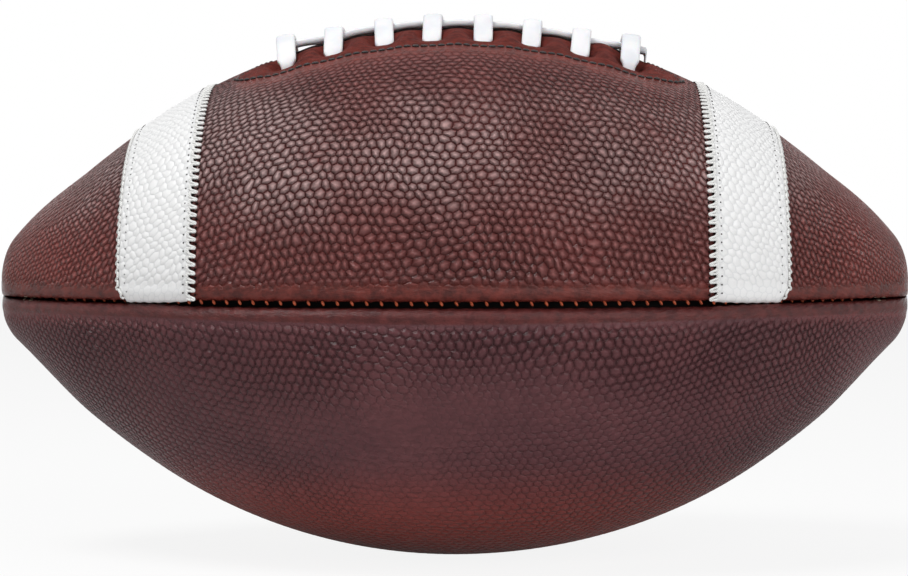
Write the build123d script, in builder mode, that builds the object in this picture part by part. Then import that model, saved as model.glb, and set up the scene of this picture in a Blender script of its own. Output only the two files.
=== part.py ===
from build123d import *
from math import asin, atan2, cos, degrees, radians, sin, sqrt
import os

# Laced leather football. +X runs along the ball, +Z up through the lacing, -Y is the front.
# The origin is on the ground under the middle of the ball.

# Outer shape of the inflated ball: a belly arc, two flank arcs tangent to it, and blunt tips
ball_length = 290.0
ball_diameter = 168.8
belly_radius = 169.3
belly_half_angle = 33.86
tip_radius = 15.6
tip_land_radius = 6.0

# Leather panels and what is bonded behind them
leather_thickness = 2.0
lining_thickness = 1.0
facing_thickness = 1.5
bond_gap = 0.05
inner_fold_radius = 1.2
seam_gap = 0.8
seam_allowance = 2.2

# Seam stitching
seam_thread_radius = 0.5
seam_stitch_pitch = 4.6
seam_stitch_depth = 4.3
seam_stitch_tail = 0.6
seam_end_margin = 16.0

# White stripes on the two upper panels
stripe_start = 77.0
stripe_width = 25.0
stripe_thickness = 0.9
stripe_thread_radius = 0.3
stripe_stitch_pitch = 2.8
stripe_stitch_length = 2.6
stripe_stitch_margin = 0.6

# Lacing
rung_count = 8
rung_pitch = 15.9
lace_width = 6.0
lace_thickness = 2.2
lace_corner_radius = 0.8
lace_bend_radius = 1.7
lace_fit = 0.2
lace_hole_offset = 15.0
rung_crest_margin = 1.2
rung_crest_radius = 3.0
strand_overhang = 4.0

# Facings beside the lacing, with their stitch line set in from the edge
facing_half_length = 74.0
facing_middle_width = 36.0
facing_end_width = 13.0
facing_stitch_inset = 3.0
facing_thread_radius = 0.35
facing_stitch_pitch = 2.6
facing_stitch_space = 0.6

# Tongue between the lace and the bladder
tongue_length = 150.0
tongue_width = 46.0
tongue_corner_radius = 12.0
tongue_thickness = 1.5
tongue_fit = 0.5

# Bladder
bladder_wall = 0.9
bladder_fit = 0.2
bladder_inner_fold = 1.2

# Valve, halfway round the rear upper panel
valve_angle = 45.0
valve_neck_radius = 3.4
valve_neck_fit = 0.2
valve_neck_recess = 0.5
valve_flange_radius = 9.0
valve_flange_thickness = 1.2
valve_stem_length = 9.0
valve_floor = 1.4
valve_air_hole_radius = 1.4
valve_core_radius = 2.3
valve_core_fit = 0.1
valve_core_recess = 0.4
valve_rib_radius = 0.5
needle_bore_radius = 1.05

quarter_turn = 90
half_turn = 180
full_turn = 360
quarters = 4
seam_tolerance_share = 0.01

# The centre line and the arcs of the outer shape
ball_radius = ball_diameter / 2
half_length = ball_length / 2
centre = Vector(0, 0, ball_radius)
long_axis = Axis(centre, (-1, 0, 0))
belly_centre = Vector(0, ball_radius - belly_radius)
belly_angle = radians(belly_half_angle)
belly_normal = Vector(sin(belly_angle), cos(belly_angle))
belly_end = belly_centre + belly_normal * belly_radius
tip_centre = Vector(half_length - tip_radius, tip_land_radius)
tip_to_belly = belly_end - tip_centre
flank_radius = (tip_to_belly.length**2 - tip_radius**2) / (2 * (tip_to_belly.dot(belly_normal) - tip_radius))
flank_centre = belly_end - belly_normal * flank_radius
flank_to_tip = tip_centre - flank_centre
flank_half_angle = degrees(atan2(flank_to_tip.X, flank_to_tip.Y))

# Depths of the layers below the leather's face, and their distances from the seam plane
lining_face = leather_thickness + bond_gap
lining_back = lining_face + lining_thickness
facing_face = lining_back + bond_gap
facing_back = facing_face + facing_thickness
flange_depth = facing_back + seam_allowance
leather_inset = seam_gap / 2
leather_fold = lining_back + inner_fold_radius
bladder_face = lining_back + bladder_fit
bladder_inset = leather_inset + lining_back + seam_stitch_tail + bladder_fit
bladder_fold = bladder_inner_fold + bladder_wall
ridge_depth = flange_depth + bladder_fit

# Heights along the outward normal at the lacing, zero on the leather's face over the seam
rung_step = rung_pitch / belly_radius
first_rung = -rung_step * (rung_count - 1) / 2
strand_height = lace_fit + lace_thickness / 2
crest_height = strand_height + lace_thickness + lace_fit
leather_drop = ball_radius - sqrt(ball_radius**2 - lace_hole_offset**2)
rung_foot_height = lace_thickness / 2 + lace_fit - leather_drop
inside_height = -(flange_depth + lace_fit + lace_thickness / 2)
crest_half_width = lace_width / 2 + rung_crest_margin
strand_end = -first_rung + strand_overhang / belly_radius
tongue_face = flange_depth + lace_fit + lace_thickness + tongue_fit
tongue_back = tongue_face + tongue_thickness


def meridian(angle):
    """Plane through the long axis, turned by `angle` from the top towards the rear."""
    outward = Vector(0, sin(radians(angle)), cos(radians(angle)))
    return Plane(origin=centre, x_dir=(1, 0, 0), z_dir=Vector(1, 0, 0).cross(outward))


def lacing_plane(angle, shift=0):
    """Plane on the leather's face over the top seam: x along the lacing, y to the rear, z outward."""
    normal = Vector(sin(angle), 0, cos(angle))
    along = Vector(cos(angle), 0, -sin(angle))
    crest = centre + Vector(0, 0, belly_centre.Y) + normal * belly_radius
    return Plane(origin=crest + along * shift, x_dir=along, z_dir=normal)


def face_radius(place):
    """Distance of the leather's face from the long axis at `place` along the ball."""
    reach = abs(place)
    if reach <= belly_end.X:
        return belly_centre.Y + sqrt(belly_radius**2 - reach**2)
    return flank_centre.Y + sqrt(flank_radius**2 - (reach - flank_centre.X) ** 2)


def outline(depth):
    """Arcs from tip to tip, `depth` below the leather's face."""
    flank_turn = flank_half_angle - belly_half_angle
    tip_turn = quarter_turn - flank_half_angle
    CenterArc((tip_centre.X, tip_centre.Y), tip_radius - depth, 0, tip_turn)
    CenterArc((flank_centre.X, flank_centre.Y), flank_radius - depth, tip_turn, flank_turn)
    CenterArc(
        (0, belly_centre.Y), belly_radius - depth, quarter_turn - belly_half_angle, 2 * belly_half_angle
    )
    CenterArc(
        (-flank_centre.X, flank_centre.Y),
        flank_radius - depth,
        quarter_turn + belly_half_angle,
        flank_turn,
    )
    CenterArc((-tip_centre.X, tip_centre.Y), tip_radius - depth, quarter_turn + flank_half_angle, tip_turn)


def ball_form(depth, turn=full_turn):
    """Solid of the ball `depth` below the leather's face, from the top round by `turn` to the rear."""
    end = half_length - depth
    with BuildPart() as form:
        with BuildSketch(meridian(0)):
            with BuildLine():
                outline(depth)
                Polyline((-end, tip_land_radius), (-end, 0), (end, 0), (end, tip_land_radius))
            make_face()
        revolve(axis=long_axis, revolution_arc=turn)
    return form.part


def panel_form(depth, inset, fold):
    """Quarter of the ball between the top and rear seams, with its edges rounded at the seams."""

    def on_seam_face(edge):
        points = [edge @ 0, edge @ 0.5, edge @ 1]
        tolerance = inset * seam_tolerance_share
        beside_top = all(abs(point.Y - inset) < tolerance for point in points)
        beside_rear = all(abs(point.Z - ball_radius - inset) < tolerance for point in points)
        return beside_top or beside_rear

    with BuildPart() as form:
        add(ball_form(depth, quarter_turn))
        with Locations((0, inset, ball_radius + inset)):
            Box(
                2 * ball_length,
                ball_diameter,
                ball_diameter,
                align=(Align.CENTER, Align.MIN, Align.MIN),
                mode=Mode.INTERSECT,
            )
        fillet(form.edges().filter_by(on_seam_face), fold)
    return form.part


def finish(piece, name):
    """Name one finished piece and write it."""
    piece.label = name
    export_step(piece, f"parts/{name}.step")


os.makedirs("parts", exist_ok=True)
inner_core = ball_form(flange_depth)

# Shell of one leather quarter, and of the lining bonded behind it, both turned in at the seams
with BuildPart() as leather_shell:
    add(panel_form(0, leather_inset, leather_fold))
    add(
        panel_form(leather_thickness, leather_inset + leather_thickness, leather_fold - leather_thickness),
        mode=Mode.SUBTRACT,
    )
    add(inner_core, mode=Mode.SUBTRACT)

with BuildPart() as lining_shell:
    add(panel_form(lining_face, leather_inset + lining_face, leather_fold - lining_face))
    add(panel_form(lining_back, leather_inset + lining_back, inner_fold_radius), mode=Mode.SUBTRACT)
    add(inner_core, mode=Mode.SUBTRACT)


def seam_stations(angle):
    """Planes square to the seam at `angle`, one at each stitch, with the stitch's place along the ball."""
    with BuildLine(meridian(angle)) as seam_line:
        outline(seam_stitch_depth)
    seam = seam_line.wire()
    count = round((seam.length - 2 * seam_end_margin) / seam_stitch_pitch)
    first = seam_end_margin / seam.length
    step = (1 - 2 * first) / count
    places = [seam @ (first + step * number) for number in range(count + 1)]
    return [Plane(origin=place, z_dir=meridian(angle).z_dir) for place in places]


def seam_stitches(stations):
    """Stitches that cross the seam at the given stations, through the leather and lining of both panels."""
    with BuildPart() as stitches:
        with Locations(*stations):
            Cylinder(seam_thread_radius, 2 * (leather_inset + lining_back + seam_stitch_tail))
    return stitches.part


# The top seam is sewn only beyond the two ends of the lacing
lacing_reach = (belly_radius + strand_height) * sin(strand_end) + lace_bend_radius + lace_thickness
top_stations = seam_stations(0)
top_right_stations = [place for place in top_stations if place.origin.X > lacing_reach + seam_stitch_pitch]
top_left_stations = [place for place in top_stations if place.origin.X < -lacing_reach - seam_stitch_pitch]
rear_stations = seam_stations(quarter_turn)
bottom_stations = seam_stations(half_turn)
front_stations = seam_stations(-quarter_turn)
seams = {
    "seam_thread_front": front_stations,
    "seam_thread_rear": rear_stations,
    "seam_thread_bottom": bottom_stations,
    "seam_thread_top_left": top_left_stations,
    "seam_thread_top_right": top_right_stations,
}
for name, stations in seams.items():
    finish(seam_stitches(stations), name)

# Slots for the lace: one beside each rung on the rear panel, and one across the seam at each strand end
rung_angles = [first_rung + rung_step * number for number in range(rung_count)]
slot_width = lace_width + 2 * lace_fit
slot_thickness = lace_thickness + 2 * lace_fit
slot_height = crest_height - inside_height
strand_leg_shift = lace_bend_radius
with BuildPart() as lace_slots:
    for angle in rung_angles:
        with BuildSketch(lacing_plane(angle).offset(inside_height)):
            with Locations((0, lace_hole_offset)):
                SlotOverall(slot_width, slot_thickness)
        extrude(amount=slot_height)
    for side in (-1, 1):
        with BuildSketch(lacing_plane(side * strand_end, side * strand_leg_shift).offset(inside_height)):
            Rectangle(slot_thickness, slot_width)
        extrude(amount=slot_height)

# Hole for the valve's neck
valve_outward = Vector(0, sin(radians(valve_angle)), cos(radians(valve_angle)))
valve_plane = Plane(origin=centre + valve_outward * ball_radius, x_dir=(1, 0, 0), z_dir=valve_outward)
valve_depth = lining_back + bladder_fit + bladder_wall + valve_flange_thickness + valve_stem_length
with BuildPart() as valve_hole:
    with Locations(valve_plane):
        Cylinder(valve_neck_radius + valve_neck_fit, 2 * valve_depth)

# Leather panels
with BuildPart() as rear_upper_panel:
    add(leather_shell.part)
    add(lace_slots.part, mode=Mode.SUBTRACT)
with BuildPart() as front_upper_panel:
    mirror(rear_upper_panel.part, about=Plane.XZ)
with rear_upper_panel:
    add(valve_hole.part, mode=Mode.SUBTRACT)
with BuildPart() as rear_lower_panel:
    add(leather_shell.part.rotate(long_axis, quarter_turn))
with BuildPart() as front_lower_panel:
    mirror(rear_lower_panel.part, about=Plane.XZ)
finish(rear_upper_panel.part, "rear_upper_panel")
finish(front_upper_panel.part, "front_upper_panel")
finish(rear_lower_panel.part, "rear_lower_panel")
finish(front_lower_panel.part, "front_lower_panel")

# Linings
with BuildPart() as rear_upper_lining:
    add(lining_shell.part)
    add(lace_slots.part, mode=Mode.SUBTRACT)
with BuildPart() as front_upper_lining:
    mirror(rear_upper_lining.part, about=Plane.XZ)
with rear_upper_lining:
    add(valve_hole.part, mode=Mode.SUBTRACT)
with BuildPart() as rear_lower_lining:
    add(lining_shell.part.rotate(long_axis, quarter_turn))
with BuildPart() as front_lower_lining:
    mirror(rear_lower_lining.part, about=Plane.XZ)
finish(rear_upper_lining.part, "rear_upper_lining")
finish(front_upper_lining.part, "front_upper_lining")
finish(rear_lower_lining.part, "rear_lower_lining")
finish(front_lower_lining.part, "front_lower_lining")


def face_normal(place):
    """Outward normal of the leather's face at `place` along the ball, as shares along and away from the axis."""
    reach = abs(place)
    arc_centre = belly_centre if reach <= belly_end.X else flank_centre
    normal = (Vector(reach, face_radius(place)) - arc_centre).normalized()
    return Vector(normal.X if place >= 0 else -normal.X, normal.Y)


def face_point(place, angle, height):
    """Point `height` above the leather's face, `angle` round from the top to the rear."""
    normal = face_normal(place)
    reach = face_radius(place) + normal.Y * height
    return centre + Vector(place + normal.X * height, reach * sin(angle), reach * cos(angle))


def rods(ends, radius, length):
    """Group of straight stitches of one size, each centred between two end points."""
    with BuildPart() as group:
        with Locations(*[Plane(origin=(start + end) / 2, z_dir=end - start) for start, end in ends]):
            Cylinder(radius, length)
    return group.part


# White stripes, bonded on the upper panels and turned down into the front and rear seams
stripe_face = bond_gap + stripe_thickness
stripe_edge = leather_inset + stripe_thickness / 2
stripe_end = stripe_start + stripe_width
with BuildPart() as rear_right_stripe:
    add(panel_form(-stripe_face, leather_inset, leather_fold + stripe_face))
    add(panel_form(-bond_gap, leather_inset, leather_fold + bond_gap), mode=Mode.SUBTRACT)
    with Locations((stripe_start, stripe_edge, ball_radius + stripe_edge)):
        Box(
            stripe_width,
            ball_diameter,
            ball_diameter,
            align=(Align.MIN, Align.MIN, Align.MIN),
            mode=Mode.INTERSECT,
        )

# Stitches that hold the stripe along both of its edges
stripe_thread_height = stripe_face + stripe_thread_radius + bond_gap
stripe_radius = face_radius(stripe_end)
stripe_first_angle = asin((leather_inset + leather_fold + stripe_face) / stripe_radius)
stripe_sweep = radians(quarter_turn) - 2 * stripe_first_angle
stripe_stitch_count = int(stripe_radius * stripe_sweep / stripe_stitch_pitch)
stripe_rows = [
    (stripe_start + stripe_stitch_margin, stripe_start + stripe_stitch_margin + stripe_stitch_length),
    (stripe_end - stripe_stitch_margin - stripe_stitch_length, stripe_end - stripe_stitch_margin),
]
stripe_stitches = []
for number in range(stripe_stitch_count + 1):
    angle = stripe_first_angle + stripe_sweep * number / stripe_stitch_count
    for row in stripe_rows:
        stripe_stitches.append(tuple(face_point(place, angle, stripe_thread_height) for place in row))
rear_right_thread = rods(stripe_stitches, stripe_thread_radius, stripe_stitch_length)

for piece, name in ((rear_right_stripe.part, "stripe"), (rear_right_thread, "stripe_thread")):
    with BuildPart() as rear_left:
        mirror(piece, about=Plane.YZ)
    with BuildPart() as front_right:
        mirror(piece, about=Plane.XZ)
    with BuildPart() as front_left:
        mirror(front_right.part, about=Plane.YZ)
    finish(piece, f"rear_right_{name}")
    finish(rear_left.part, f"rear_left_{name}")
    finish(front_right.part, f"front_right_{name}")
    finish(front_left.part, f"front_left_{name}")


def facing_plan(inset):
    """Plan of one facing beside the lacing, `inset` in from its free edge, from the seam to the rear."""
    reach = facing_half_length - inset
    with BuildSketch(Plane.XY.offset(ball_radius)) as plan:
        with BuildLine():
            ThreePointArc(
                (-reach, facing_end_width - inset),
                (0, facing_middle_width - inset),
                (reach, facing_end_width - inset),
            )
            Polyline(
                (reach, facing_end_width - inset),
                (reach, 0),
                (-reach, 0),
                (-reach, facing_end_width - inset),
            )
        make_face()
    return plan.sketch


# Facings behind the linings, beside the lacing
with BuildPart() as rear_facing:
    add(facing_plan(0))
    extrude(amount=ball_diameter)
    add(panel_form(facing_face, leather_inset + facing_face, inner_fold_radius), mode=Mode.INTERSECT)
    add(ball_form(facing_back), mode=Mode.SUBTRACT)
    add(lace_slots.part, mode=Mode.SUBTRACT)
with BuildPart() as front_facing:
    mirror(rear_facing.part, about=Plane.XZ)
finish(rear_facing.part, "rear_lace_facing")
finish(front_facing.part, "front_lace_facing")

# Facing stitches, laid on the leather along the curved edge of the facing
facing_edge = facing_plan(facing_stitch_inset).edges().filter_by(GeomType.CIRCLE)[0]
facing_stitch_count = round(facing_edge.length / facing_stitch_pitch)
facing_holes = []
for number in range(facing_stitch_count + 1):
    place = facing_edge @ (number / facing_stitch_count)
    angle = asin(place.Y / face_radius(place.X))
    facing_holes.append(face_point(place.X, angle, facing_thread_radius + bond_gap))
facing_stitch_length = facing_stitch_pitch - facing_stitch_space
rear_facing_thread = rods(zip(facing_holes, facing_holes[1:]), facing_thread_radius, facing_stitch_length)
with BuildPart() as front_facing_thread:
    mirror(rear_facing_thread, about=Plane.XZ)
finish(rear_facing_thread, "rear_facing_thread")
finish(front_facing_thread.part, "front_facing_thread")


def inside_run(start_plane, start_across, end_plane, end_across):
    """Plan of the flat run of the lace under the seam, between the feet of two legs."""
    start = start_plane.from_local_coords(Vector(0, start_across, inside_height))
    end = end_plane.from_local_coords(Vector(0, end_across, inside_height))
    run_plane = Plane(
        origin=(start + end) / 2,
        x_dir=start_plane.x_dir + end_plane.x_dir,
        z_dir=start_plane.z_dir + end_plane.z_dir,
    )
    first = run_plane.to_local_coords(start)
    last = run_plane.to_local_coords(end)
    half_width = lace_width / 2
    overlap = lace_thickness / 2
    with BuildSketch(run_plane.offset(-lace_thickness / 2)) as run:
        Polygon(
            (first.X - half_width, first.Y + overlap),
            (first.X + half_width, first.Y + overlap),
            (last.X + half_width, last.Y - overlap),
            (last.X - half_width, last.Y - overlap),
            align=None,
        )
    return run.sketch


# One lace: the strand over the seam, eight rungs across it, and the runs that join them inside
strand_radius = belly_radius + strand_height
strand_normal = Vector(sin(strand_end), cos(strand_end))
strand_along = Vector(cos(strand_end), -sin(strand_end))
arc_end = belly_centre + strand_normal * strand_radius
bend_centre = arc_end - strand_normal * lace_bend_radius
bend_middle = bend_centre + (strand_normal + strand_along).normalized() * lace_bend_radius
bend_end = bend_centre + strand_along * lace_bend_radius
leg_length = strand_height - lace_bend_radius - inside_height + lace_thickness / 2
leg_end = bend_end - strand_normal * leg_length
strand_leg_plane = lacing_plane(strand_end, strand_leg_shift)
foot_height = inside_height - lace_thickness / 2
with BuildPart() as lace:
    with BuildLine(meridian(0)) as strand_path:
        CenterArc((0, belly_centre.Y), strand_radius, quarter_turn - degrees(strand_end), degrees(strand_end))
        ThreePointArc((arc_end.X, arc_end.Y), (bend_middle.X, bend_middle.Y), (bend_end.X, bend_end.Y))
        Line((bend_end.X, bend_end.Y), (leg_end.X, leg_end.Y))
    with BuildSketch(Plane(origin=(0, 0, ball_diameter + strand_height), x_dir=(0, 1, 0), z_dir=(1, 0, 0))):
        RectangleRounded(lace_width, lace_thickness, lace_corner_radius)
    sweep(path=strand_path.wire())
    mirror(about=Plane.YZ)
    for angle in rung_angles:
        station = lacing_plane(angle)
        with BuildLine(Plane(origin=station.origin, x_dir=(0, 1, 0), z_dir=station.x_dir)) as rung_path:
            FilletPolyline(
                (-lace_hole_offset, foot_height),
                (-lace_hole_offset, rung_foot_height),
                (-crest_half_width, crest_height),
                (crest_half_width, crest_height),
                (lace_hole_offset, rung_foot_height),
                (lace_hole_offset, foot_height),
                radius=(lace_bend_radius, rung_crest_radius, rung_crest_radius, lace_bend_radius),
            )
        foot = station.from_local_coords(Vector(0, -lace_hole_offset, foot_height))
        with BuildSketch(Plane(origin=foot, x_dir=station.x_dir, z_dir=station.z_dir)):
            RectangleRounded(lace_width, lace_thickness, lace_corner_radius)
        sweep(path=rung_path.wire())
    for angle, next_angle in zip(rung_angles, rung_angles[1:]):
        run = inside_run(lacing_plane(angle), lace_hole_offset, lacing_plane(next_angle), -lace_hole_offset)
        extrude(run, amount=lace_thickness)
    last_run = inside_run(lacing_plane(rung_angles[-1]), lace_hole_offset, strand_leg_plane, 0)
    extrude(last_run, amount=lace_thickness)
finish(lace.part, "lace")

# Tongue under the lace
with BuildPart() as tongue:
    with BuildSketch(Plane.XY.offset(ball_radius)):
        RectangleRounded(tongue_length, tongue_width, tongue_corner_radius)
    extrude(amount=ball_diameter)
    add(ball_form(tongue_face), mode=Mode.INTERSECT)
    add(ball_form(tongue_back), mode=Mode.SUBTRACT)
finish(tongue.part, "tongue")


def bladder_form(wall):
    """Solid of the bladder `wall` below its outer face, with beds for the facings and the tongue."""
    room = bladder_fit + wall
    with BuildPart() as facing_bed:
        with BuildSketch(Plane.XY.offset(ball_radius)):
            add(facing_plan(0))
            mirror(about=Plane.XZ)
            offset(amount=room)
        extrude(amount=ball_diameter)
        add(ball_form(facing_back + room), mode=Mode.SUBTRACT)
    with BuildPart() as tongue_bed:
        with BuildSketch(Plane.XY.offset(ball_radius)):
            RectangleRounded(tongue_length + 2 * room, tongue_width + 2 * room, tongue_corner_radius + room)
        extrude(amount=ball_diameter)
        add(ball_form(tongue_back + room), mode=Mode.SUBTRACT)
    lobe = panel_form(bladder_face + wall, bladder_inset + wall, bladder_fold - wall)
    with BuildPart() as form:
        add(ball_form(ridge_depth + wall))
        for number in range(quarters):
            add(lobe.rotate(long_axis, number * quarter_turn))
        add(facing_bed.part, mode=Mode.SUBTRACT)
        add(tongue_bed.part, mode=Mode.SUBTRACT)
    return form.part


# Bladder, holed for the valve
with BuildPart() as bladder:
    add(bladder_form(0))
    add(bladder_form(bladder_wall), mode=Mode.SUBTRACT)
    add(valve_hole.part, mode=Mode.SUBTRACT)
finish(bladder.part, "bladder")

# Valve body: a flange bonded inside the bladder, and a neck and stem bored for the core
valve_flange_face = bladder_face + bladder_wall + bond_gap
valve_bottom = valve_plane.offset(-valve_depth)
bore_bottom = valve_plane.offset(valve_floor - valve_depth)
rib_place = valve_plane.offset(-valve_depth / 2)
with BuildPart() as valve_body:
    with Locations(valve_plane):
        Cylinder(valve_flange_radius, 2 * valve_depth)
    add(ball_form(valve_flange_face), mode=Mode.INTERSECT)
    add(ball_form(valve_flange_face + valve_flange_thickness), mode=Mode.SUBTRACT)
    with BuildSketch(valve_bottom):
        Circle(valve_neck_radius)
    extrude(amount=valve_depth - valve_neck_recess)
    with BuildSketch(bore_bottom):
        Circle(valve_core_radius + valve_core_fit)
    extrude(amount=valve_depth, mode=Mode.SUBTRACT)
    with BuildSketch(valve_bottom):
        Circle(valve_air_hole_radius)
    extrude(amount=valve_depth, mode=Mode.SUBTRACT)
    with Locations(rib_place):
        Torus(valve_core_radius, valve_rib_radius + valve_core_fit, mode=Mode.SUBTRACT)
finish(valve_body.part, "valve_body")

# Valve core, with the bore for the inflating needle
core_length = valve_depth - valve_floor - valve_core_fit - valve_neck_recess - valve_core_recess
with BuildPart() as valve_core:
    with BuildSketch(bore_bottom.offset(valve_core_fit)):
        Circle(valve_core_radius)
    extrude(amount=core_length)
    with Locations(rib_place):
        Torus(valve_core_radius, valve_rib_radius)
    with BuildSketch(bore_bottom.offset(valve_core_fit)):
        Circle(needle_bore_radius)
    extrude(amount=core_length, mode=Mode.SUBTRACT)
finish(valve_core.part, "valve_core")
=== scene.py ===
from math import cos, pi, radians, sin

import bpy
import numpy as np
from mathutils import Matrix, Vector


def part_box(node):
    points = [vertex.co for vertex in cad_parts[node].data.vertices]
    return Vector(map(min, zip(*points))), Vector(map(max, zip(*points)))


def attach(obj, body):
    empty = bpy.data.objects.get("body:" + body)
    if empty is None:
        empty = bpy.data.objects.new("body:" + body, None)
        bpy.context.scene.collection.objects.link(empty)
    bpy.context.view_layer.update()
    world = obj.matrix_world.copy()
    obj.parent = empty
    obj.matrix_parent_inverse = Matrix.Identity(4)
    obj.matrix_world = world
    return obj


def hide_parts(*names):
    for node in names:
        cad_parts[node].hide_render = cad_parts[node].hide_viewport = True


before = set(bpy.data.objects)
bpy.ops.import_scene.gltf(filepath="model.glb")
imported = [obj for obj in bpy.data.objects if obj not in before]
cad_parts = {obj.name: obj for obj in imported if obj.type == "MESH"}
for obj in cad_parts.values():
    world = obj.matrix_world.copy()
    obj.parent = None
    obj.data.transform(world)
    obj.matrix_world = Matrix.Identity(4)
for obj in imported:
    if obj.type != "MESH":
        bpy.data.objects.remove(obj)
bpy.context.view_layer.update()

mm = 0.001


class Settings(dict):
    # a piece's settings, each also read as an attribute
    __getattr__ = dict.__getitem__


# Shape of the inflated ball: the solids' profile, with this one ball's unevenness
ball = Settings(
    length=290 * mm, diameter=168.8 * mm, bellyRadius=169.3 * mm,
    bellyHalfAngle=radians(33.86), tipRadius=15.6 * mm, tipLand=6.0 * mm,
    tipPole=1.2 * mm,
    seamDrop=2.1 * mm,  # the front and rear seams run a little below the axis
    rightFullness=0.065,  # the right end is a little rounder than the left
    rightPower=2.2, leftFullness=0.035, leftPower=8,
    tipLobe=0.075,  # the tips are fuller above the side seams than below
    lobeRange=(116 * mm, 140 * mm),
)
radius = ball.diameter / 2
centre = Vector((0, 0, radius))


def smooth(low, high, value):
    share = np.clip((value - low) / (high - low), 0, 1)
    return share * share * (3 - 2 * share)


def profileCurve(samples=4000):
    # arc length, place along the ball with distance from the axis, and outward normal, from tip to tip
    halfLength = ball.length / 2
    bellyCentre = np.array([0, radius - ball.bellyRadius])
    bellyNormal = np.array([sin(ball.bellyHalfAngle), cos(ball.bellyHalfAngle)])
    bellyEnd = bellyCentre + bellyNormal * ball.bellyRadius
    tipCentre = np.array([halfLength - ball.tipRadius, ball.tipLand])
    gap = bellyEnd - tipCentre
    flankRadius = (gap @ gap - ball.tipRadius ** 2) / (2 * (gap @ bellyNormal - ball.tipRadius))
    flankCentre = bellyEnd - bellyNormal * flankRadius
    toTip = tipCentre - flankCentre
    flankAngle = np.arctan2(toTip[0], toTip[1])
    turn = np.concatenate([
        np.linspace(0, ball.bellyHalfAngle, samples),
        np.linspace(ball.bellyHalfAngle, flankAngle, samples),
        np.linspace(flankAngle, pi / 2, samples),
    ])
    normals = np.stack([np.sin(turn), np.cos(turn)], 1)
    centres = np.repeat([bellyCentre, flankCentre, tipCentre], samples, 0)
    radii = np.repeat([ball.bellyRadius, flankRadius, ball.tipRadius], samples)
    points = centres + normals * radii[:, None]
    points = np.concatenate([points, [[halfLength, ball.tipPole]]])  # the tip closes towards the axis
    normals = np.concatenate([normals, [[1, 0]]])
    mirrored = np.array([-1, 1])
    points = np.concatenate([points[:0:-1] * mirrored, points])
    normals = np.concatenate([normals[:0:-1] * mirrored, normals])
    share = points[:, 0] / halfLength
    fuller = ball.rightFullness * np.maximum(share, 0) ** ball.rightPower
    points[:, 1] *= 1 + fuller + ball.leftFullness * np.maximum(-share, 0) ** ball.leftPower
    lengths = np.concatenate([[0], np.cumsum(np.linalg.norm(np.diff(points, axis=0), axis=1))])
    return lengths - lengths[-1] / 2, points, normals


arcLength, arcPoints, arcNormals = profileCurve()


def profileAt(lengths):
    # place along the ball, distance from the axis, and the normal's two parts
    return [np.interp(lengths, arcLength, column) for column in (*arcPoints.T, *arcNormals.T)]


def lengthAt(place):
    return np.interp(place, arcPoints[:, 0], arcLength)


def seamTurn(reach):
    # angle from the top to the front or rear seam, seen along the ball
    return pi / 2 + np.arcsin(np.clip(ball.seamDrop / np.maximum(reach, 4 * mm), 0, 0.5))


def onBall(lengths, turn, height):
    # points above the ball's face, turn measured from the top towards the rear
    place, reach, normalAlong, normalOut = profileAt(lengths)
    out = reach + normalOut * height
    return np.stack([place + normalAlong * height, out * np.sin(turn), out * np.cos(turn) + radius], -1)


# Lacing: the leather is drawn down at each rung and opened along the seam
lacing = Settings(
    rungs=8, pitch=15.9 * mm,
    middle=1.4 * mm,  # a little right of the ball's middle
    holeOffset=15.0 * mm, pullDepth=3.0 * mm, pullWidth=5.2 * mm, pullInner=7.5 * mm,
    pullOuter=14.0 * mm, dimpleDepth=1.3 * mm, dimpleRadius=4.4 * mm,
    lipRise=1.5 * mm,  # the rear edge stands up along the opening
    lipPlace=5.2 * mm, lipWidth=3.2 * mm,
    liftPlace=47.6 * mm,  # the leather stands up under the slack strand near its right end
    liftHeight=1.9 * mm, liftLength=5.5 * mm, liftAcross=11.0 * mm, openGap=2.0 * mm,
    closeRange=(54.0 * mm, 66.0 * mm),  # along from its middle
    dyedRange=(3.2 * mm, 5.6 * mm),  # the opening's edges are painted dark: dyed edges and painted shade of the gap under the strand
)
rungStep = lacing.pitch / ball.bellyRadius
middleTurn = lacing.middle / ball.bellyRadius
rungAngles = middleTurn + (np.arange(lacing.rungs) - (lacing.rungs - 1) / 2) * rungStep


def lacingSink(place, across):
    # depth of the leather below the ball's face, across measured from the top seam
    aside = across - lacing.holeOffset
    band = np.exp(-((aside / np.where(aside < 0, lacing.pullInner, lacing.pullOuter)) ** 2))
    sink = np.zeros(np.broadcast(place, across).shape)
    for angle in rungAngles:
        along = place - ball.bellyRadius * sin(angle)
        sink = sink + lacing.pullDepth * band * np.exp(-((along / lacing.pullWidth) ** 4))
        sink = sink + lacing.dimpleDepth * np.exp(-(along**2 + aside**2) / lacing.dimpleRadius ** 2)
    fromLift = ((place - lacing.liftPlace) / lacing.liftLength) ** 2 + (across / lacing.liftAcross) ** 2
    return sink - lacing.liftHeight * np.exp(-fromLift)


def lacingOpen(place):
    return lacing.openGap * (1 - smooth(*lacing.closeRange, np.abs(place - lacing.middle)))


# Facing stitch line in plan: from the seam out to a corner and along a flat arc
facing = Settings(
    middle=1.8 * mm,
    cornerReach=70.3 * mm,  # along from its middle
    middleAcross=34.4 * mm, bowReach=71.8 * mm, bowPower=4.5, seamReach=60.5 * mm,
    seamAcross=4.0 * mm, stitchPitch=2.6 * mm, stitchLength=2.3 * mm,
    threadRadius=0.46 * mm, threadHeight=0.2 * mm,
    slantHeight=-0.12 * mm,  # the short rows from the corners to the seam are drawn in
    slantSize=0.85, depth=3.1 * mm, thickness=1.5 * mm,
    reachPast=2.0 * mm,  # the cloth past its stitch line
    endRange=(66.3 * mm, 80.3 * mm),  # smooth leather ends past the corners
    grainRange=(1.0 * mm, 13.0 * mm),  # and pebbles rise again beyond the line
)


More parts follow.
